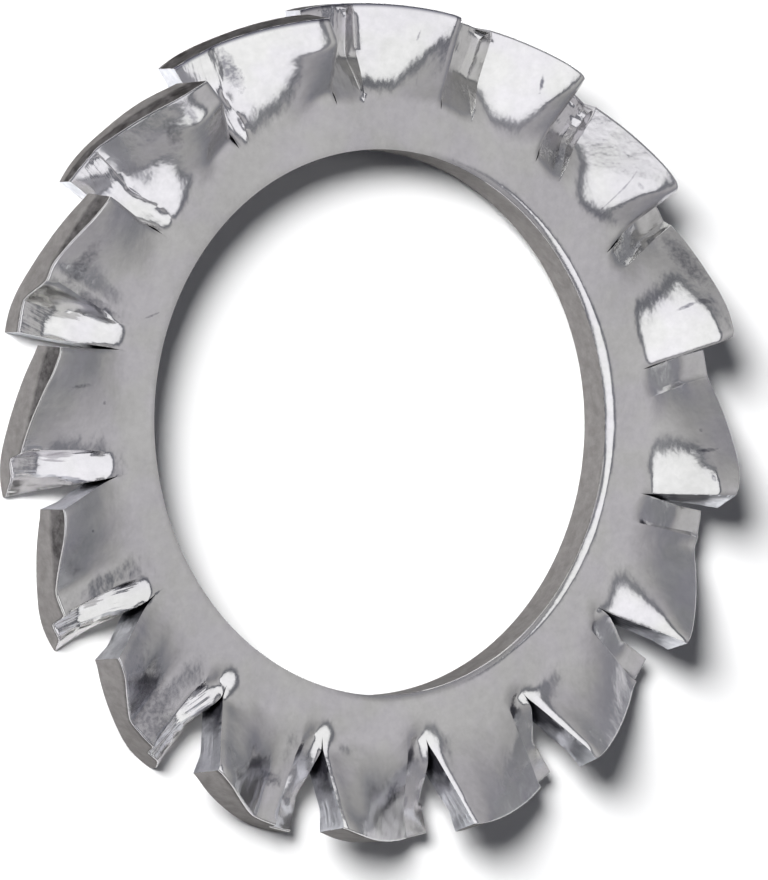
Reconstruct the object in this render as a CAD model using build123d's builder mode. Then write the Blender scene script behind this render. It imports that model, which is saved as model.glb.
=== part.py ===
"""Lock washer with sixteen twisted outer teeth, for an M12 screw.

Millimetres, +Z up. The origin lies on the bore's axis, in the plane the washer
rests on, which its lowered tooth corners touch.
"""

import math
import os

from build123d import *

# Ring
bore_d = 13.0
ring_w = 1.15  # from the bore to the slit roots
thickness = 1.0
bore_roll = 0.12  # rounding that punching leaves on the bore's upper edge

# Teeth, seen from above: each one's clockwise edge is raised, the other lowered
tooth_count = 16
outer_d = 20.0
rise = 0.93  # raised edge above the ring
drop = 0.85  # lowered edge below the ring
coining = 0.35  # how much the die thins the lowered edge, from above
ramp_len = 1.6  # from the slit root to where a tooth has its full twist

# Level strips along a tooth's edges, where the dies press
raised_top_w = 0.4
lowered_top_w = 0.58
raised_under_w = 0.4
lowered_under_w = 0.3

# Slits: sheared from a point at the root, then spread by the twist
raised_setback = 0.44  # raised edge drawn back at the rim, from the radial line
lowered_reach = 0.1  # lowered edge pushed past the radial line at the rim

# The rim reaches outer_d between a tooth's middle and its lowered edge
raised_short = 0.2  # how much nearer the axis the raised corner is
lowered_short = 0.03  # the same for the lowered corner

bore_r = bore_d / 2
outer_r = outer_d / 2
half_pitch = math.radians(180 / tooth_count)
root_r = bore_r + ring_w
root_x = root_r * math.cos(half_pitch)
root_y = root_r * math.sin(half_pitch)
full_x = root_x + ramp_len
ring_z = drop - coining  # underside of the ring

# Corners of one tooth in plan, the tooth pointing along +X
raised_r = outer_r - raised_short
raised_turn = half_pitch - raised_setback / raised_r
raised_x = raised_r * math.cos(raised_turn)
raised_y = -raised_r * math.sin(raised_turn)
lowered_r = outer_r - lowered_short
lowered_turn = half_pitch + lowered_reach / lowered_r
lowered_x = lowered_r * math.cos(lowered_turn)
lowered_y = lowered_r * math.sin(lowered_turn)
raised_slope = (raised_y + root_y) / (raised_x - root_x)
lowered_slope = (lowered_y - root_y) / (lowered_x - root_x)
crest_turn = lowered_turn / 2

bite = 0.3  # how far a tooth's root runs into the ring, to join it
spare = 0.6  # sheet left round a tooth before it's trimmed to its outline

with BuildPart() as tooth:
    # The twisted sheet, flat at the root and at full twist from full_x outwards
    for x, twist in (
        (root_x - bite, 0),
        (root_x, 0),
        (full_x, 1),
        (outer_r + spare, 1),
    ):
        left = -root_y + raised_slope * (x - root_x)
        right = root_y + lowered_slope * (x - root_x)
        left_top = ring_z + thickness + twist * rise
        right_top = ring_z + thickness - twist * drop
        left_under = ring_z + twist * rise
        right_under = ring_z - twist * (drop - coining)
        top_start = left + raised_top_w
        top_end = right - lowered_top_w
        top_run = top_end - top_start
        under_start = left + raised_under_w
        under_end = right - lowered_under_w
        under_run = under_end - under_start
        crease_top = right_top + 0.3 * (left_top - right_top)
        with BuildSketch(Plane.YZ.offset(x)):
            with BuildLine():
                Line((left - spare, left_top), (top_start, left_top))
                # Runs smoothly off the raised strip and meets the lowered one in a crease
                Bezier(
                    (top_start, left_top),
                    (top_start + 0.25 * top_run, left_top),
                    (top_end - 0.3 * top_run, crease_top),
                    (top_end, right_top),
                )
                Line((top_end, right_top), (right + spare, right_top))
                Line((right + spare, right_top), (right + spare, right_under))
                Line((right + spare, right_under), (under_end, right_under))
                Bezier(
                    (under_end, right_under),
                    (under_end - 0.3 * under_run, right_under),
                    (under_start + 0.15 * under_run, left_under),
                    (under_start, left_under),
                )
                Line((under_start, left_under), (left - spare, left_under))
                Line((left - spare, left_under), (left - spare, left_top))
            make_face()
    loft(ruled=True)

    # The blank's outline: root, two slit edges and the rim between its corners
    with BuildSketch():
        with BuildLine():
            Polyline(
                (raised_x, raised_y),
                (root_x, -root_y),
                (root_x - bite, -root_y / 2),
                (root_x - bite, root_y / 2),
                (root_x, root_y),
                (lowered_x, lowered_y),
            )
            ThreePointArc(
                (lowered_x, lowered_y),
                (outer_r * math.cos(crest_turn), outer_r * math.sin(crest_turn)),
                (raised_x, raised_y),
            )
        make_face()
    extrude(amount=ring_z + thickness + rise, mode=Mode.INTERSECT)

with BuildPart() as lock_washer:
    with BuildSketch(Plane.XY.offset(ring_z)):
        RegularPolygon(radius=root_r, side_count=tooth_count, rotation=180 / tooth_count)
        Circle(radius=bore_r, mode=Mode.SUBTRACT)
    extrude(amount=thickness)
    with PolarLocations(radius=0, count=tooth_count):
        add(tooth.part)
    bore_edges = lock_washer.edges().filter_by(GeomType.CIRCLE).group_by(SortBy.RADIUS)[0]
    fillet(bore_edges.sort_by(Axis.Z)[-1], radius=bore_roll)

lock_washer.part.label = "lock_washer"

os.makedirs("parts", exist_ok=True)
export_step(lock_washer.part, "parts/lock_washer.step")
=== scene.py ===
"""Looks of the toothed lock washer: one pressed and twisted ring of zinc plated spring steel."""

import math

import bmesh
import bpy
import numpy as np
from mathutils import Matrix, Vector


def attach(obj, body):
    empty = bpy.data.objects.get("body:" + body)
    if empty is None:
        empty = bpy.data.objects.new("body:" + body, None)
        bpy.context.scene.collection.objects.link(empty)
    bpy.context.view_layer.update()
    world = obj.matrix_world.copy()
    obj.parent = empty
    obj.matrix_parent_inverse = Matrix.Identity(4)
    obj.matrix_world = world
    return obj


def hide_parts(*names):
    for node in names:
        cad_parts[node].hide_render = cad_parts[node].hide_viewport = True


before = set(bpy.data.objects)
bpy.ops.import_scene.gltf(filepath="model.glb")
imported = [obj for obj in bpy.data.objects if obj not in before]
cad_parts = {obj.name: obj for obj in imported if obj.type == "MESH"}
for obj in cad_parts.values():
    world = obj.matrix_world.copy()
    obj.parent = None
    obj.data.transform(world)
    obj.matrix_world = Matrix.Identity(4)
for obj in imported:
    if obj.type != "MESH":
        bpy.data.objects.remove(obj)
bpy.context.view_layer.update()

MM = 0.001

# ---------------------------------------------------------------- sizes, millimetres
teeth = 16
bore_r = 6.5
outer_r = 10.0
thickness = 1.0
root_r = 7.65  # slit roots
ring_top = 1.5
rise = 0.93  # raised edge above the ring
under_slope = 0.53  # of a tooth's lower face, across the tooth
under_level_share = 0.511  # part of a tooth's width where its lower face is level with the ring's
under_drop = 0.5  # lowest part of the lower face, below the ring's
under_bend, under_bend_end = 7.6, 9.2  # where the lower face starts to twist, and where it's fully twisted
strip_start = 7.6  # where the coined strip starts to go down
bow_w = 1.2  # distance across a tooth for which its bow and dish are given
root_step_w = 0.035  # step beside the coined strip, at the slit root
edge_roll_w, edge_roll_depth = 0.16, 0.05  # rounding along the raised edge
rim_roll = 0.05  # rounding along the rim

half_pitch = math.pi / teeth
root_x = root_r * math.cos(half_pitch)
root_y = root_r * math.sin(half_pitch)
# corners of a tooth along +X, in plan
raised_r = outer_r - 0.2
raised_turn = half_pitch - 0.44 / raised_r
raised = (raised_r * math.cos(raised_turn), -raised_r * math.sin(raised_turn))
lowered_r = outer_r - 0.03
lowered_turn = half_pitch + 0.1 / lowered_r
lowered = (lowered_r * math.cos(lowered_turn), lowered_r * math.sin(lowered_turn))
crest = (outer_r * math.cos(lowered_turn / 2), outer_r * math.sin(lowered_turn / 2))
# slopes of its raised and lowered edges, in plan
high_slope = (raised[1] + root_y) / (raised[0] - root_x)
low_slope = (lowered[1] - root_y) / (lowered[0] - root_x)


def circle_through(a, b, c):
    """Centre and radius of the circle through three points."""
    (ax, ay), (bx, by), (cx, cy) = a, b, c
    d = 2 * (ax * (by - cy) + bx * (cy - ay) + cx * (ay - by))
    a2, b2, c2 = ax**2 + ay**2, bx**2 + by**2, cx**2 + cy**2
    ux = (a2 * (by - cy) + b2 * (cy - ay) + c2 * (ay - by)) / d
    uy = (a2 * (cx - bx) + b2 * (ax - cx) + c2 * (bx - ax)) / d
    return ux, uy, math.hypot(ax - ux, ay - uy)


rim_x, rim_y, rim_r = circle_through(raised, crest, lowered)


# ---------------------------------------------------------------- shape helpers
def soft_min(a, b, k):
    """The smaller value, rounded off where the two are closer than k."""
    h = np.maximum(k - np.abs(a - b), 0) / k
    return np.minimum(a, b) - h * h * k / 4


def soft_max(a, b, k):
    """The larger value, rounded off where the two are closer than k."""
    return -soft_min(-a, -b, k)


def ramp(x, start, end, k=0.06):
    """0 before start, 1 after end, straight between them, with softened corners."""
    t = (x - start) / (end - start)
    return soft_min(soft_max(t, np.zeros_like(t), k), np.ones_like(t), k)


def ease(x, start, end):
    """0 before start, 1 after end, an S-curve between them."""
    t = np.clip((x - start) / (end - start), 0, 1)
    return t * t * (3 - 2 * t)


# ---------------------------------------------------------------- plan of one tooth
# columns of points: distances from the raised edge, then shares of the step's and the coined strip's widths
high_cols = [0, 0.02, 0.05, 0.09, 0.14, 0.2, 0.27, 0.35, 0.45]
step_shares = [1, 0.8, 0.6, 0.4, 0.2]
low_shares = [1, 0.86, 0.7, 0.54, 0.4, 0.27, 0.16, 0.08, 0.03, 0]
mid_cols = 16
# rows of points: on the ring by their distance from the bore, and on a tooth by their share of its length
ring_stations = [
    0, 0.02, 0.05, 0.09, 0.13, 0.17, 0.26, 0.38, 0.5, 0.62, 0.72, 0.8, 0.87, 0.93, 0.98, 1.03, 1.07, 1.11,
    1.15,
]
tooth_stations = [
    0.012, 0.03, 0.05, 0.075, 0.1, 0.13, 0.16, 0.2, 0.24, 0.28, 0.32, 0.36, 0.4, 0.44, 0.48, 0.52, 0.56, 0.6,
    0.63, 0.66, 0.69, 0.72, 0.75, 0.78, 0.81, 0.84, 0.87, 0.9, 0.925, 0.945, 0.96, 0.972, 0.982, 0.99, 0.996,
    1.0,
]


def column_y(y_high, y_low, strip_w, step_w):
    """Across a tooth from its raised edge: close columns there and in the coined strip, even ones between."""
    high = [y_high + d for d in high_cols]
    low = [y_low - strip_w - step_w * share for share in step_shares]
    low += [y_low - strip_w * share for share in low_shares]
    middle = list(np.linspace(high[-1], low[0], mid_cols + 2)[1:-1])
    return np.array(high + middle + low)


def plan_points(tooth):
    """Rows from bore to rim, columns from the raised edge to the lowered edge, of a tooth along +X."""
    y_root = column_y(-root_y, root_y, tooth["strip_root"], root_step_w)
    root = np.stack([np.sqrt(root_r**2 - y_root**2), y_root], -1)
    y_rim = column_y(raised[1], lowered[1], tooth["strip_rim"], tooth["step"])
    rim = np.stack([rim_x + np.sqrt(rim_r**2 - (y_rim - rim_y) ** 2), y_rim], -1)
    rows = [root / root_r * (bore_r + s) for s in ring_stations]
    rows += [root * (1 - s) + rim * s for s in tooth_stations]
    return np.array(rows)


def along_edge(x, y, start, end):
    """Distance to the edge from start through end, and how far along it."""
    dx, dy = end[0] - start[0], end[1] - start[1]
    length = math.hypot(dx, dy)
    t = ((x - start[0]) * dx + (y - start[1]) * dy) / length
    tc = np.clip(t, 0, None)
    return np.hypot(x - start[0] - tc * dx / length, y - start[1] - tc * dy / length), t


# ---------------------------------------------------------------- how each tooth came out of the press
# Tooth 1 points up in the picture and the count runs clockwise; slit k lies between tooth k and tooth k + 1.
# Lengths are in millimetres, and places along a tooth are measured from the bore's axis.
#   rise, drop, slope: the upper face's highest and lowest level, and how steeply it falls across the tooth
#   pad_root, pad_rim: width of the level pad along the raised edge, at the slit root and at the rim
#   bend, bend_end: where the face starts to leave the ring's plane, and where it's fully twisted
#   high_bend, high_end: the same beside the raised edge; spread: width over which the two places meet
#   bow, dish, dish_shift, round: how the line where it bends curves across the tooth; soft: its softness
#   strip_root, strip_rim: width of the coined strip along the lowered edge, at the slit root and at the rim
#   strip_end, strip_drop, strip_tilt: where it's fully down, how deep, and its slope across the tooth
#   step, corner, fall: the step beside it at the rim, its rounded ends, and its slope beyond strip_end
#   lip, lip_depth: width and depth of the lip along its outer edge
#   lean, kick: how far the raised edge's foot is set off across the tooth and outwards, at the rim
#   rough, lump, streak: roughness of the strip, height of the face's lumps, strength of the scored lines
#   shear, painted_dark_rim: how far down the rim's smooth sheared band reaches, painted dark as a dark
#       reflection; painted_dark_rim also paints a dark reflection on the face beside it
#   end_painted_shade: painted shade on the tooth's cut ends, and how far out from the slit's root it reaches
usual_tooth = dict(
    rise=0.93, drop=0.72, slope=0.68, pad_root=0.3, pad_rim=0.43, bend=7.6, bend_end=9.2, high_bend=7.85,
    high_end=9.05, spread=0.7, bow=0.0, dish=0.0, dish_shift=0.0, round=0.0, soft=0.06, strip_root=0.58,
    strip_rim=0.62, strip_end=9.12, strip_drop=0.85, strip_tilt=0.0, step=0.06, corner=0.2, fall=0.0, lip=0.0,
    lip_depth=0.0, lean=0.05, kick=0.1, rough=0.0, lump=0.004, streak=0.0, shear=0.0, painted_dark_rim=0.0, end_painted_shade=0.0,
)
own_tooth = {
    1: dict(drop=0.85, pad_root=0.5, pad_rim=0.1, bend=7.7, bend_end=8.8, bow=0.2, high_bend=7.7,
            high_end=9.7, spread=1.3, strip_root=0.75, strip_rim=1.25, strip_drop=0.8, strip_end=8.8,
            corner=0.08, rough=0.01, streak=0.3, painted_dark_rim=0.95),
    2: dict(drop=0.85, pad_root=0.25, pad_rim=0.25, slope=0.7, bend=7.7, bend_end=8.6, bow=0.2, dish=0.3,
            dish_shift=0.15, strip_root=0.9, strip_rim=1.35, strip_drop=0.8, strip_end=8.75, corner=0.06,
            streak=0.25, painted_dark_rim=0.5),
    3: dict(drop=0.85, pad_rim=0.25, slope=0.62, bend=7.7, bend_end=8.6, bow=0.3, dish=0.3, strip_root=0.8,
            strip_rim=1.0, strip_drop=0.8, strip_end=8.8, corner=0.08, rough=0.013, streak=0.5, lump=0.003,
            painted_dark_rim=0.4),
    4: dict(pad_root=0.28, slope=0.64, bend=7.7, bend_end=9.25, high_bend=7.7, high_end=9.3, strip_rim=0.7,
            strip_drop=0.8, streak=0.3, lump=0.006, end_painted_shade=0.8),
    5: dict(pad_root=0.12, lean=0.3, bend=7.75, high_end=9.15, strip_root=0.7, strip_drop=0.72, corner=0.1,
            streak=0.3, end_painted_shade=1.6),
    6: dict(pad_root=0.02, pad_rim=0.0, slope=0.64, bend_end=8.9, bow=0.35, dish=0.2, dish_shift=-0.25,
            lean=0.12, strip_root=0.7, strip_drop=0.72, corner=0.1, streak=0.1, lump=0.002, end_painted_shade=0.9),
    7: dict(pad_root=0.2, pad_rim=0.02, high_bend=7.65, high_end=9.35, round=0.1, bend=7.65, bend_end=9.6,
            slope=0.6, kick=0.22, end_painted_shade=0.7),
    8: dict(pad_root=0.1, pad_rim=0.12, high_bend=7.65, high_end=9.8, bend_end=9.6, slope=0.5, kick=0.18,
            lump=0.006, end_painted_shade=0.5),
    9: dict(high_end=9.6, lump=0.006, end_painted_shade=0.55),
    10: dict(high_end=9.6, slope=0.75, drop=0.3, step=0.2, lump=0.008, end_painted_shade=0.5),
    11: dict(pad_root=0.2, pad_rim=0.3, slope=0.8, drop=0.25, step=0.3, strip_end=8.75, strip_drop=0.75,
             lip=0.3, lip_depth=0.45, soft=0.3, high_end=9.8, streak=1.0, lump=0.006, end_painted_shade=0.35),
    12: dict(lip=0.32, lip_depth=0.45, soft=0.3, strip_rim=0.7, fall=0.14, slope=0.75, bend_end=9.6,
             drop=0.25, step=0.3, high_end=9.8, streak=1.0, shear=0.5),
    13: dict(lip=0.48, lip_depth=0.42, soft=0.3, pad_root=0.6, strip_rim=0.9, fall=0.12, bend_end=9.9,
             drop=0.45, step=0.2, high_end=9.8, streak=1.0, shear=0.5),
    14: dict(soft=0.3, pad_root=0.6, strip_rim=0.75, fall=0.08, bend_end=9.7, slope=0.74, drop=0.12, step=0.6,
             high_end=9.8, streak=0.5, shear=0.5),
    15: dict(pad_root=0.6, pad_rim=0.75, slope=0.92, drop=0.75, bend_end=8.75, strip_root=0.45,
             strip_rim=0.85, strip_tilt=0.42, strip_end=8.85, strip_drop=0.88, kick=0.12, lean=-0.2,
             lump=0.012, streak=0.3, shear=0.5, painted_dark_rim=0.5),
    16: dict(pad_root=0.45, strip_root=0.3, strip_rim=0.8, strip_drop=0.65, strip_tilt=0.46, step=0.5,
             lump=0.006, streak=0.3, painted_dark_rim=0.95),
}
dice = np.random.default_rng(7)  # for the strips' roughness
# dimples that the shear left at the roots of some slits: slit, then depth, radius and shift off the root
dimples = {
    6: (0.08, 0.4, 0.1),
    7: (0.16, 0.55, 0.18),
    8: (0.22, 0.65, 0.2),
    9: (0.2, 0.55, 0.18),
    10: (0.2, 0.55, 0.2),
}


def lumps(x, y, seed):
    """Small smooth unevenness of the pressed sheet, about -1 to 1."""
    waves = np.random.default_rng(seed)
    total = np.zeros_like(x)
    for _ in range(9):
        length, side, phase = waves.uniform(0.35, 1.1), waves.uniform(0, math.pi), waves.uniform(0, 6)
        along = x * math.cos(side) + y * math.sin(side)
        total = total + length * np.sin(along * 2 * math.pi / length + phase)
    return total / 2.5


def top_z(x, y, tooth, bore_roll, bore_drop, seed):
    """Height of the upper face above the ring's upper face."""
    y_high = -root_y + high_slope * (x - root_x)
    y_low = root_y + low_slope * (x - root_x)
    from_high = y - y_high
    from_low = y_low - y
    out = np.clip((x - root_x) / (raised[0] - root_x), 0, 1)
    pad = tooth["pad_root"] + (tooth["pad_rim"] - tooth["pad_root"]) * out
    rise, drop, soft = tooth["rise"], tooth["drop"], tooth["soft"]
    twist = soft_min(rise - tooth["slope"] * (from_high - pad), np.full_like(x, rise), 0.3)
    twist = soft_max(twist, np.full_like(x, -drop), 0.1)
    share = ease(from_high, pad, pad + tooth["spread"])
    level_y = y_high + pad + rise / tooth["slope"]
    if tooth["dish"]:
        side = np.clip((y - level_y - tooth["dish_shift"]) / bow_w, -1.5, 1.5) ** 2
        start = tooth["bend"] + tooth["bow"] * side
        end = start + tooth["bend_end"] - tooth["bend"] + tooth["dish"] * side
        edge_ramp = body_ramp = ramp(x, start, end, 0.2)
    else:
        edge_ramp = ramp(x - tooth["round"] * from_high**2, tooth["high_bend"], tooth["high_end"], soft)
        bowed = x - tooth["bow"] * np.clip((y - level_y) / bow_w, -1.2, 1.2) ** 2
        body_ramp = ramp(bowed, tooth["bend"], tooth["bend_end"], max(soft, 0.1))
    z = twist * (edge_ramp * (1 - share) + body_ramp * share)
    uneven = lumps(x, y, seed)
    z = z + tooth["lump"] * uneven * ease(x, 7.5, 8.1)
    # coined strip along the lowered edge, rounded at both ends
    strip_w = tooth["strip_root"] + (tooth["strip_rim"] - tooth["strip_root"]) * out
    step_w = root_step_w + (tooth["step"] - root_step_w) * out
    corner = tooth["corner"] * np.clip(np.abs(2 * from_low / strip_w - 1), 0, 1.2) ** 4
    low_ramp = ramp(x, strip_start + corner, tooth["strip_end"] - corner, 0.12)
    tilt = tooth["strip_tilt"] * (from_low - strip_w / 2)
    strip = low_ramp * (tilt - tooth["strip_drop"] + 2.5 * tooth["lump"] * uneven)
    strip = strip - tooth["fall"] * np.clip(x - tooth["strip_end"] + 0.1, 0, None)
    if tooth["lip"]:
        reach = np.clip((x - 8.0) / 1.5, 0, 1)
        lip = np.clip(1 - from_low / (tooth["lip"] * reach + 1e-6), 0, 1)
        strip = strip - tooth["lip_depth"] * reach * lip
    if not tooth["strip_tilt"]:
        strip = np.minimum(strip, z)
    z = strip + (z - strip) * ease(from_low, strip_w, strip_w + step_w)
    inside_strip = (from_low < 0.95 * strip_w) & (from_low > 0.02)
    z = z + tooth["rough"] * dice.normal(size=x.shape) * np.where(inside_strip, ease(x, 8.5, 9.2), 0)
    # the sheared raised edge rolls over
    d, t = along_edge(x, y, (root_x, -root_y), raised)
    z = z - edge_roll_depth * np.clip(1 - d / edge_roll_w, 0, 1) ** 2 * ease(t, -0.1, 0.4)
    # bore edge and rim edge
    q = np.clip(1 - (np.hypot(x, y) - bore_r) / bore_roll, 0, 1)
    z = z - bore_drop * q * q
    q = np.clip(1 - (rim_r - np.hypot(x - rim_x, y - rim_y)) / rim_roll, 0, 1)
    z = z - rim_roll * (1 - np.sqrt(np.clip(1 - q * q, 0, 1)))
    return z


def under_z(x, y):
    """Height of the lower face above the ring's upper face."""
    y_high = -root_y + high_slope * (x - root_x)
    y_low = root_y + low_slope * (x - root_x)
    level_y = y_high + under_level_share * (y_low - y_high)
    twist = soft_min(0.04 + under_slope * (level_y - y), np.full_like(x, rise), 0.1)
    twist = soft_max(twist, np.full_like(x, -under_drop), 0.3)
    return twist * ramp(x, under_bend, under_bend_end) - thickness


# ---------------------------------------------------------------- mesh
wall_rows = 7
FACE, RIM, END = 0, 1, 2  # material numbers
score_shift = 10  # keeps one tooth's scored lines from running on in the next
merge_distance = 1e-6  # metres
# down: 0 at the upper face and 1 at the lower one, shifted on the bore's wall and the rim, whose sheared band
# is painted dark as a dark reflection and ends at 0.14; along, across: place on a tooth in millimetres, along
# being shifted out on the cut ends by their painted shade; streak: how strongly the dies scored the metal
# along the tooth;
# dull: how much painted dark reflection a face has beside the rim
point_values = ("down", "along", "across", "streak", "dull")


def add_grid(store, points, finish, flip, **values):
    """Appends a grid of quads with its material number and its point values."""
    rows, cols = points.shape[:2]
    first = store["count"]
    store["points"].append(points.reshape(-1, 3))
    for name in point_values:
        store[name].append(np.broadcast_to(values.get(name, 0.0), (rows, cols)).reshape(-1))
    index = first + np.arange(rows * cols).reshape(rows, cols)
    quad = np.stack([index[:-1, :-1], index[1:, :-1], index[1:, 1:], index[:-1, 1:]], -1).reshape(-1, 4)
    store["quads"].append(quad[:, ::-1] if flip else quad)
    store["finish"].append(np.full(len(quad), finish))
    store["count"] += rows * cols


def wall(top, under):
    """Rows of points from an upper boundary down to the lower one."""
    s = np.linspace(0, 1, wall_rows)[:, None, None]
    return top[None] * (1 - s) + under[None] * s


def tooth_faces(k, tooth):
    """Tooth k and its part of the ring: places on the tooth, then the upper and lower faces' points."""
    plan = plan_points(tooth)
    x, y = plan[..., 0], plan[..., 1]
    from_high = y + root_y - high_slope * (x - root_x)
    out = np.clip((x - root_x) / (raised[0] - root_x), 0, 1)
    turn = math.pi / 2 - 2 * half_pitch * (k - 1)
    c, s = math.cos(turn), math.sin(turn)
    X, Y = x * c - y * s, x * s + y * c
    place = np.arctan2(Y, X)
    waves = 0.035 * np.sin(3 * place + 1) + 0.02 * np.sin(8 * place) + 0.012 * np.sin(17 * place + 2)
    bore_roll = 0.2 + waves
    bore_drop = 0.02 + 0.11 * ease(np.cos(place + 0.2), -0.1, 0.35)
    z = top_z(x, y, tooth, bore_roll, bore_drop, k)
    for slit, (depth, radius, shift) in dimples.items():
        at = math.pi / 2 - 2 * half_pitch * (slit - 0.5) - shift / root_r
        d = np.hypot(X - root_r * math.cos(at), Y - root_r * math.sin(at))
        z = z - depth * np.clip(1 - d / radius, 0, 1) ** 2
    top = np.stack([X, Y, ring_top + z], -1)
    y_under = y - tooth["lean"] * out * (1 - ease(from_high, 0.0, 1.6))
    x_under = x + tooth["kick"] * out * (1 - ease(from_high, 0.0, 2.6))
    X, Y = x_under * c - y_under * s, x_under * s + y_under * c
    under = np.stack([X, Y, ring_top + under_z(x, y)], -1)
    return x, y, from_high, top, under


def washer_mesh():
    """The whole skin: every tooth's faces, walls and ends, joined into one closed mesh."""
    ring_rows = len(ring_stations)
    store = {"points": [], "quads": [], "finish": [], "count": 0}
    store.update({name: [] for name in point_values})
    down = np.linspace(0, 1, wall_rows)[:, None]
    all_teeth = [{**usual_tooth, **own_tooth.get(k, {})} for k in range(1, teeth + 1)]
    all_faces = [tooth_faces(k, tooth) for k, tooth in enumerate(all_teeth, 1)]
    # neighbours meet in the ring at one height
    for k in range(teeth):
        top, next_top = all_faces[k][3], all_faces[(k + 1) % teeth][3]
        seam = (top[:ring_rows, 0] + next_top[:ring_rows, -1]) / 2
        top[:ring_rows, 0] = next_top[:ring_rows, -1] = seam
    for k, (tooth, (x, y, from_high, top, under)) in enumerate(zip(all_teeth, all_faces), 1):
        # the dies scored the coined strip and the lower part of its step
        in_strip = np.arange(x.shape[1]) >= x.shape[1] - len(low_shares) - 2
        scored = tooth["streak"] * np.where(in_strip, ease(x, 7.7, 8.0), 0)
        across = y + score_shift * k
        to_rim = rim_r - np.hypot(x - rim_x, y - rim_y)
        # painted dark reflection on the upper face beside the rim
        dull = tooth["painted_dark_rim"] * (1 - ease(to_rim, 0.02, 0.02 + 0.1 * tooth["painted_dark_rim"]))
        add_grid(store, top, FACE, False, along=x, across=across, streak=scored, dull=dull)
        add_grid(store, under, FACE, True, down=1.0, along=x, across=across)
        # bore wall, without the sheared band, and rim
        add_grid(store, wall(top[0], under[0]), RIM, True, down=down + 0.3)
        # how far down the rim's smooth sheared band reaches, painted dark as a dark reflection
        sheared = np.maximum(tooth["shear"] * (1 - ease(from_high[-1], 0.1, 2.1)), tooth["painted_dark_rim"])
        add_grid(store, wall(top[-1], under[-1]), RIM, False, down=down - sheared)
        on_tooth = slice(ring_rows - 1, None)
        for side, flip in ((0, False), (-1, True)):
            face = wall(top[on_tooth, side], under[on_tooth, side])
            # painted shade on the cut ends: it reaches further out from the slit's root, more along their
            # upper edge
            painted_shade_along = x[on_tooth, side] - tooth["end_painted_shade"] * (1 - 0.6 * down)
            add_grid(store, face, END, flip, down=down, along=painted_shade_along, across=down + score_shift * k)
    points = np.concatenate(store["points"]) * MM
    quads = np.concatenate(store["quads"])
    mesh = bpy.data.meshes.new("lock_washer_skin")
    mesh.from_pydata(points.tolist(), [], quads.tolist())
    mesh.polygons.foreach_set("material_index", np.concatenate(store["finish"]).astype(np.int32))
    for name in point_values:
        attribute = mesh.attributes.new(name, "FLOAT", "POINT")
        attribute.data.foreach_set("value", np.concatenate(store[name]).astype(np.float32))
    bm = bmesh.new()
    bm.from_mesh(mesh)
    bmesh.ops.remove_doubles(bm, verts=bm.verts, dist=merge_distance)
    bmesh.ops.recalc_face_normals(bm, faces=bm.faces)
    open_edges = sum(1 for e in bm.edges if not e.is_manifold)
    print("washer: faces", len(bm.faces), "open or doubled edges", open_edges)
    bm.to_mesh(mesh)
    bm.free()
    mesh.shade_smooth()
    mesh.set_sharp_from_angle(angle=math.radians(40))
    return mesh


# ---------------------------------------------------------------- materials
class Nodes:
    """A node tree, and short ways to add to it."""

    def __init__(self, tree):
        self.nodes, self.links = tree.nodes, tree.links
        self.nodes.clear()

    def put(self, value, socket):
        """Links a socket to another, or sets its value."""
        if isinstance(value, bpy.types.NodeSocket):
            self.links.new(value, socket)
        else:
            socket.default_value = value

    def math(self, operation, a, b=0.0):
        node = self.nodes.new("ShaderNodeMath")
        node.operation = operation
        self.put(a, node.inputs[0])
        self.put(b, node.inputs[1])
        return node.outputs[0]

    def dot(self, vector, direction):
        node = self.nodes.new("ShaderNodeVectorMath")
        node.operation = "DOT_PRODUCT"
        self.put(vector, node.inputs[0])
        self.put(direction, node.inputs[1])
        return node.outputs["Value"]

    def remap(self, value, a, b, lo, hi, smooth=False):
        node = self.nodes.new("ShaderNodeMapRange")
        if smooth:
            node.interpolation_type = "SMOOTHSTEP"
        for name, number in (("From Min", a), ("From Max", b), ("To Min", lo), ("To Max", hi)):
            self.put(number, node.inputs[name])
        self.put(value, node.inputs["Value"])
        return node.outputs["Result"]

    def mix(self, factor, a, b):
        node = self.nodes.new("ShaderNodeMix")
        node.data_type = "RGBA"
        self.put(factor, node.inputs[0])
        self.put(a, node.inputs[6])
        self.put(b, node.inputs[7])
        return node.outputs[2]


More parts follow.
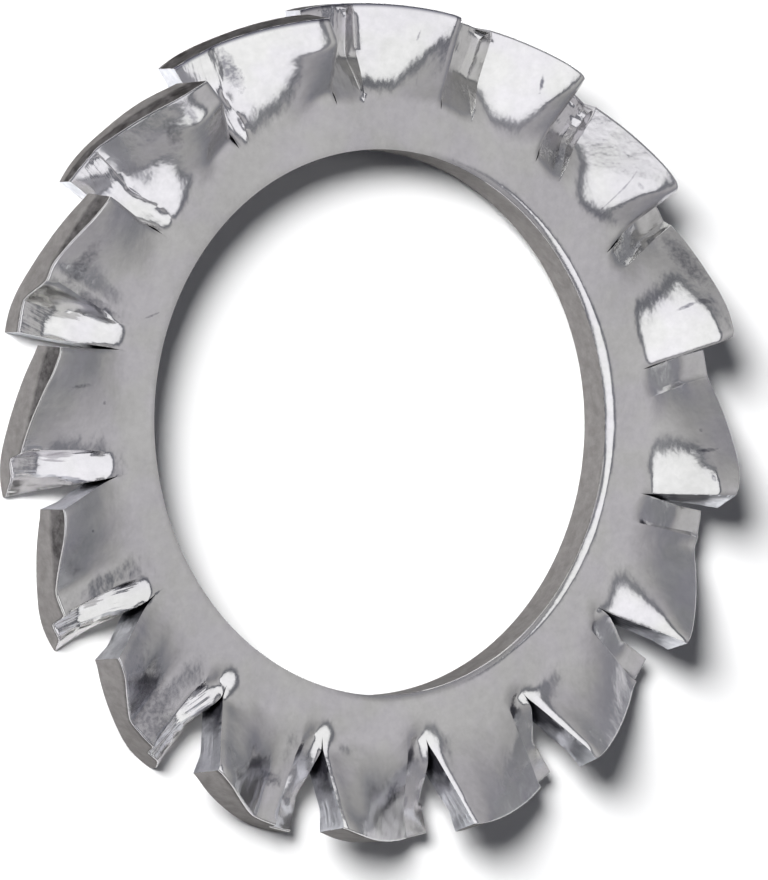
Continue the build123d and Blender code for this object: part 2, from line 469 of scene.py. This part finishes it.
class Metal(Nodes):
    """A metal material."""

    def __init__(self, name):
        self.material = bpy.data.materials.new(name)
        self.material.use_nodes = True
        super().__init__(self.material.node_tree)
        out = self.nodes.new("ShaderNodeOutputMaterial")
        self.metal = self.nodes.new("ShaderNodeBsdfPrincipled")
        self.links.new(self.metal.outputs["BSDF"], out.inputs["Surface"])
        self.metal.inputs["Metallic"].default_value = 1.0
        self.place = self.nodes.new("ShaderNodeTexCoord").outputs["Object"]

    def set(self, name, value):
        self.put(value, self.metal.inputs[name])

    def attribute(self, name):
        node = self.nodes.new("ShaderNodeAttribute")
        node.attribute_name = name
        return node.outputs["Fac"]

    def noise(self, scale, detail, rough=0.55):
        node = self.nodes.new("ShaderNodeTexNoise")
        node.inputs["Scale"].default_value = scale
        node.inputs["Detail"].default_value = detail
        node.inputs["Roughness"].default_value = rough
        self.links.new(self.place, node.inputs["Vector"])
        return node.outputs["Fac"]

    def from_centre(self, x, y, length, width, turn):
        """Distance from an ellipse's centre, 1 on its outline, from millimetres and degrees."""
        node = self.nodes.new("ShaderNodeMapping")
        node.vector_type = "TEXTURE"
        node.inputs["Location"].default_value = (x * MM, y * MM, 0)
        node.inputs["Rotation"].default_value = (0, 0, math.radians(turn))
        node.inputs["Scale"].default_value = (length / 2 * MM, width / 2 * MM, 1)
        self.links.new(self.place, node.inputs["Vector"])
        size = self.nodes.new("ShaderNodeVectorMath")
        size.operation = "LENGTH"
        self.links.new(node.outputs["Vector"], size.inputs[0])
        return size.outputs["Value"]

    def streaks(self):
        """Fine lines along a tooth."""
        place = self.nodes.new("ShaderNodeCombineXYZ")
        self.put(self.math("MULTIPLY", self.attribute("along"), 0.9), place.inputs[0])
        self.put(self.math("MULTIPLY", self.attribute("across"), 6.0), place.inputs[1])
        node = self.nodes.new("ShaderNodeTexNoise")
        node.inputs["Scale"].default_value = 1.0
        node.inputs["Detail"].default_value = 2.0
        self.links.new(place.outputs[0], node.inputs["Vector"])
        return self.math("SUBTRACT", node.outputs["Fac"], 0.5)

    def bump(self, height, strength, distance):
        node = self.nodes.new("ShaderNodeBump")
        node.inputs["Strength"].default_value = strength
        node.inputs["Distance"].default_value = distance
        self.links.new(height, node.inputs["Height"])
        self.links.new(node.outputs["Normal"], self.metal.inputs["Normal"])


# colour of the dark marks, and of the painted dark reflection beside the rim
marks_and_painted_dark_colour = (0.1, 0.1, 0.13, 1)
# dark marks on the upper face: centre, length and width in millimetres, turn in degrees, and how dark
marks = [
    (4.05, 8.21, 0.42, 0.08, -104, 0.85),
    (0.55, 9.23, 0.25, 0.05, -108, 0.5),
    (5.16, 6.53, 0.9, 0.3, -145, 0.5),
    (6.46, 5.71, 1.32, 0.05, -129, 0.45),
    (6.90, 5.87, 0.18, 0.1, -50, 0.4),
    (8.46, 3.04, 0.51, 0.08, 27, 0.8),
    (8.82, 3.16, 0.37, 0.13, 2, 0.9),
    (8.71, 4.14, 1.32, 0.5, -54, 0.6),
    (9.10, -0.41, 0.58, 0.1, 9, 0.8),
    (9.14, 0.08, 0.1, 0.08, 31, 0.6),
    (9.08, -1.07, 0.19, 0.1, -80, 0.7),
    (0.55, -8.87, 0.76, 0.45, 43, 0.7),
    (-2.98, -8.48, 0.87, 0.35, -21, 0.75),
    (-6.35, -7.0, 2.6, 1.3, -63, 0.6),
    (-6.33, -6.44, 0.76, 0.25, 20, 0.5),
    (-8.38, -2.82, 0.1, 0.08, -21, 0.7),
    (-8.81, 0.59, 0.63, 0.1, 6, 0.6),
    (-7.98, 0.22, 0.1, 0.1, -14, 0.6),
    (-8.70, 3.42, 1.17, 0.45, -115, 0.55),
    (-8.16, 2.58, 1.33, 0.25, -29, 0.5),
    (-6.66, 2.32, 0.43, 0.06, 21, 0.6),
    (-6.40, 6.66, 0.85, 0.3, -56, 0.5),
    (-6.12, 7.02, 0.57, 0.2, -55, 0.6),
    (-4.36, 8.24, 1.04, 0.35, -59, 0.75),
    (-4.83, 8.85, 0.62, 0.3, 24, 0.75),
]


def zinc_face():
    """Satin zinc of the pressed faces: faint clouds, fine unevenness, dark marks, scored lines, and a painted
    dark reflection beside the rim.
    """
    m = Metal("zinc_face")
    cloud = m.noise(420, 3)
    grain = m.noise(4200, 4, 0.65)
    blend = m.math("ADD", m.math("MULTIPLY", cloud, 0.6), m.math("MULTIPLY", grain, 0.4))
    tone = m.remap(blend, 0.36, 0.64, 0, 1)
    warm = m.mix(tone, (0.565, 0.562, 0.55, 1), (0.685, 0.68, 0.668, 1))
    cool = m.mix(tone, (0.57, 0.56, 0.575, 1), (0.69, 0.676, 0.692, 1))
    zinc = m.mix(m.remap(m.noise(650, 2), 0.42, 0.58, 0, 1), warm, cool)
    ragged = m.math("MULTIPLY", m.noise(6500, 3, 0.7), 1.6)
    specks = m.remap(m.noise(9000, 2), 0.4, 0.6, 0.5, 1)
    marks_and_painted_dark = 0.0
    for x, y, length, width, turn, dark in marks:
        reach = m.math("ADD", m.from_centre(x, y, length, width, turn), ragged)
        marks_and_painted_dark = m.math("MAXIMUM", marks_and_painted_dark, m.remap(reach, 1.3, 2.0, dark, 0))
    above = m.math("SUBTRACT", 1.0, m.attribute("down"))
    marks_and_painted_dark = m.math("MULTIPLY", marks_and_painted_dark, m.math("MULTIPLY", specks, above))
    # painted dark reflection beside the rim
    marks_and_painted_dark = m.math("MAXIMUM", marks_and_painted_dark, m.attribute("dull"))
    m.set("Base Color", m.mix(marks_and_painted_dark, zinc, marks_and_painted_dark_colour))
    m.set("Roughness", m.remap(cloud, 0.3, 0.7, 0.16, 0.24))
    height = m.math("ADD", m.noise(5200, 1.5), m.math("MULTIPLY", m.noise(2200, 1), 1.3))
    scored = m.math("MULTIPLY", m.streaks(), m.attribute("streak"))
    m.bump(m.math("ADD", height, m.math("MULTIPLY", scored, 7.0)), 1.0, 0.0000065)
    return m.material


def sheared_rim():
    """Rim and bore wall: torn metal, with a smooth sheared band along the rim's upper edge, painted dark as a
    dark reflection.
    """
    m = Metal("sheared_rim")
    grain = m.noise(3600, 4, 0.65)
    tone = m.remap(grain, 0.35, 0.65, 0, 1)
    torn = m.mix(tone, (0.25, 0.238, 0.233, 1), (0.33, 0.316, 0.31, 1))
    # the sheared band's colour: a painted dark reflection
    smooth = m.mix(tone, (0.07, 0.066, 0.066, 1), (0.2, 0.19, 0.19, 1))
    m.set("Base Color", m.mix(m.remap(m.attribute("down"), 0.0, 0.14, 0, 1), smooth, torn))
    m.set("Roughness", 0.42)
    m.set("Specular Tint", (0.33, 0.33, 0.33, 1))
    m.bump(grain, 0.5, 0.00004)
    return m.material


def cut_end():
    """Ends of the teeth along the slits: cut bright, with painted shade toward the slits' roots."""
    m = Metal("cut_end")
    grain = m.noise(3000, 3, 0.6)
    bright = m.mix(m.remap(grain, 0.35, 0.65, 0, 1), (0.6, 0.61, 0.65, 1), (0.8, 0.81, 0.85, 1))
    # painted shade: the cut ends turn dark toward the slits' roots
    depth = m.remap(m.math("ADD", m.attribute("along"), m.math("MULTIPLY", grain, 0.6)), 8.2, 8.75, 0, 1)
    m.set("Base Color", m.mix(depth, (0.1, 0.1, 0.12, 1), bright))
    m.set("Roughness", 0.28)
    m.bump(m.math("ADD", grain, m.math("MULTIPLY", m.streaks(), 1.5)), 0.4, 0.00003)
    return m.material


def floor_material():
    mat = bpy.data.materials.new("pale_floor")
    mat.use_nodes = True
    shader = mat.node_tree.nodes["Principled BSDF"]
    shader.inputs["Base Color"].default_value = (0.93, 0.93, 0.93, 1)
    shader.inputs["Roughness"].default_value = 0.2
    return mat


# ---------------------------------------------------------------- the piece
washer = bpy.data.objects.new("washer_skin", washer_mesh())
bpy.context.scene.collection.objects.link(washer)
for material in (zinc_face(), sheared_rim(), cut_end()):
    washer.data.materials.append(material)
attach(washer, "root")
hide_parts("lock_washer")

# ---------------------------------------------------------------- floor
floor_mesh = bpy.data.meshes.new("floor")
floor_half = 3.0
corners = [(x * floor_half, y * floor_half, 0) for x, y in ((-1, -1), (1, -1), (1, 1), (-1, 1))]
floor_mesh.from_pydata(corners, [], [(0, 1, 2, 3)])
floor = bpy.data.objects.new("floor", floor_mesh)
bpy.context.scene.collection.objects.link(floor)
floor.data.materials.append(floor_material())

# ---------------------------------------------------------------- camera and light directions
# the camera looks down at the washer from its left; right, up and back are the camera's own axes
view_right = Vector((0.8298, 0.0199, 0.5578)).normalized()
view_back = Vector((-0.5574, -0.0220, 0.8300)).normalized()
view_up = view_back.cross(view_right).normalized()
view_right = view_up.cross(view_back).normalized()
frame_turn = math.radians(4.95)  # of the picture's right from +X, in the floor's plane
camera_distance = 0.5
aim_right, aim_down = 0.0233 * MM, 0.422 * MM  # the picture's centre, from the ring's


def facing(right, up, back, place):
    """Matrix of a camera or lamp with these axes: it looks along minus back."""
    m = Matrix((right, up, back)).transposed().to_4x4()
    m.translation = place
    return m


def toward(degrees_right, degrees_up):
    """Direction leaning from the vertical by these angles in the picture's right and up."""
    angle = math.radians(math.hypot(degrees_right, degrees_up))
    side = math.atan2(degrees_up, degrees_right) + frame_turn
    return Vector((math.sin(angle) * math.cos(side), math.sin(angle) * math.sin(side), math.cos(angle)))


camera_data = bpy.data.cameras.new("camera")
camera_data.sensor_fit = "VERTICAL"
camera_data.sensor_height = 24.0
camera_data.sensor_width = 24.0
camera_data.lens = 572.8
camera_data.clip_start = 0.01
camera_data.clip_end = 20.0
camera = bpy.data.objects.new("camera", camera_data)
target = Vector((0, 0, ring_top * MM)) + view_right * aim_right - view_up * aim_down
camera.matrix_world = facing(view_right, view_up, view_back, target + view_back * camera_distance)
bpy.context.scene.collection.objects.link(camera)
bpy.context.scene.camera = camera

# ---------------------------------------------------------------- lamps
# metres; the dark frame in the world below takes the softbox to be 1 m away
softbox_distance = 1.0
softbox_w, softbox_h = 1.06, 2.3
softbox_radiance = 1.2
softbox_data = bpy.data.lights.new("softbox", "AREA")
softbox_data.shape = "RECTANGLE"
softbox_data.size = softbox_w
softbox_data.size_y = softbox_h
softbox_data.energy = softbox_radiance * math.pi * softbox_w * softbox_h
softbox = bpy.data.objects.new("softbox", softbox_data)
box_back = toward(-22, 2.5)
box_right = Vector((math.cos(frame_turn), math.sin(frame_turn), 0))
box_right = (box_right - box_back * box_right.dot(box_back)).normalized()
box_up = box_back.cross(box_right)
softbox.matrix_world = facing(box_right, box_up, box_back, box_back * softbox_distance)
softbox.visible_diffuse = False
bpy.context.scene.collection.objects.link(softbox)

key_data = bpy.data.lights.new("key", "SUN")
key_data.energy = 5.5
key_data.angle = math.radians(22)
key = bpy.data.objects.new("key", key_data)
key_back = (Matrix.Rotation(frame_turn, 3, "Z") @ Vector((-1.0, 0.55, 1.0))).normalized()
key_right = Vector((0, 0, 1)).cross(key_back).normalized()
key.matrix_world = facing(key_right, key_back.cross(key_right), key_back, key_back)
key.visible_glossy = False
bpy.context.scene.collection.objects.link(key)

# ---------------------------------------------------------------- surroundings
world = bpy.data.worlds.new("studio")
world.use_nodes = True
bpy.context.scene.world = world
sky = Nodes(world.node_tree)
look = sky.nodes.new("ShaderNodeTexCoord").outputs["Generated"]
ahead = sky.dot(look, box_back)
aside = sky.math("ABSOLUTE", sky.dot(look, box_right))
above = sky.math("ABSOLUTE", sky.dot(look, box_up))
# pale near the softbox, darker away from it, and darker still toward the top and bottom of the picture
glow = sky.remap(ahead, -0.4, 0.6, 0.25, 0.72)
glow = sky.math("MULTIPLY", glow, sky.remap(above, 0.0, 0.9, 1.0, 0.78))
# dark frame round the softbox
clear = sky.math("MAXIMUM", ahead, 0.01)
past_side = sky.math("SUBTRACT", sky.math("DIVIDE", aside, clear), softbox_w / 2)
past_top = sky.math("SUBTRACT", sky.math("DIVIDE", above, clear), softbox_h / 2)
framed = sky.remap(sky.math("MAXIMUM", past_side, past_top), 0.22, 0.6, 0.22, 1.0, smooth=True)
glow = sky.math("MULTIPLY", glow, framed)
# the key lights the floor nearly alone, so that its shadow stays deep
path = sky.nodes.new("ShaderNodeLightPath")
glow = sky.math("MULTIPLY", glow, sky.remap(path.outputs["Is Diffuse Ray"], 0, 1, 1.0, 0.16))
# the dark parts are a little blue
tint = sky.mix(sky.remap(glow, 0.15, 0.45, 0, 1), (0.9, 0.94, 1.12, 1), (1.0, 0.99, 1.01, 1))
background = sky.nodes.new("ShaderNodeBackground")
sky.links.new(tint, background.inputs["Color"])
sky.links.new(glow, background.inputs["Strength"])
out = sky.nodes.new("ShaderNodeOutputWorld")
sky.links.new(background.outputs[0], out.inputs["Surface"])

bpy.context.scene.view_settings.view_transform = "Standard"
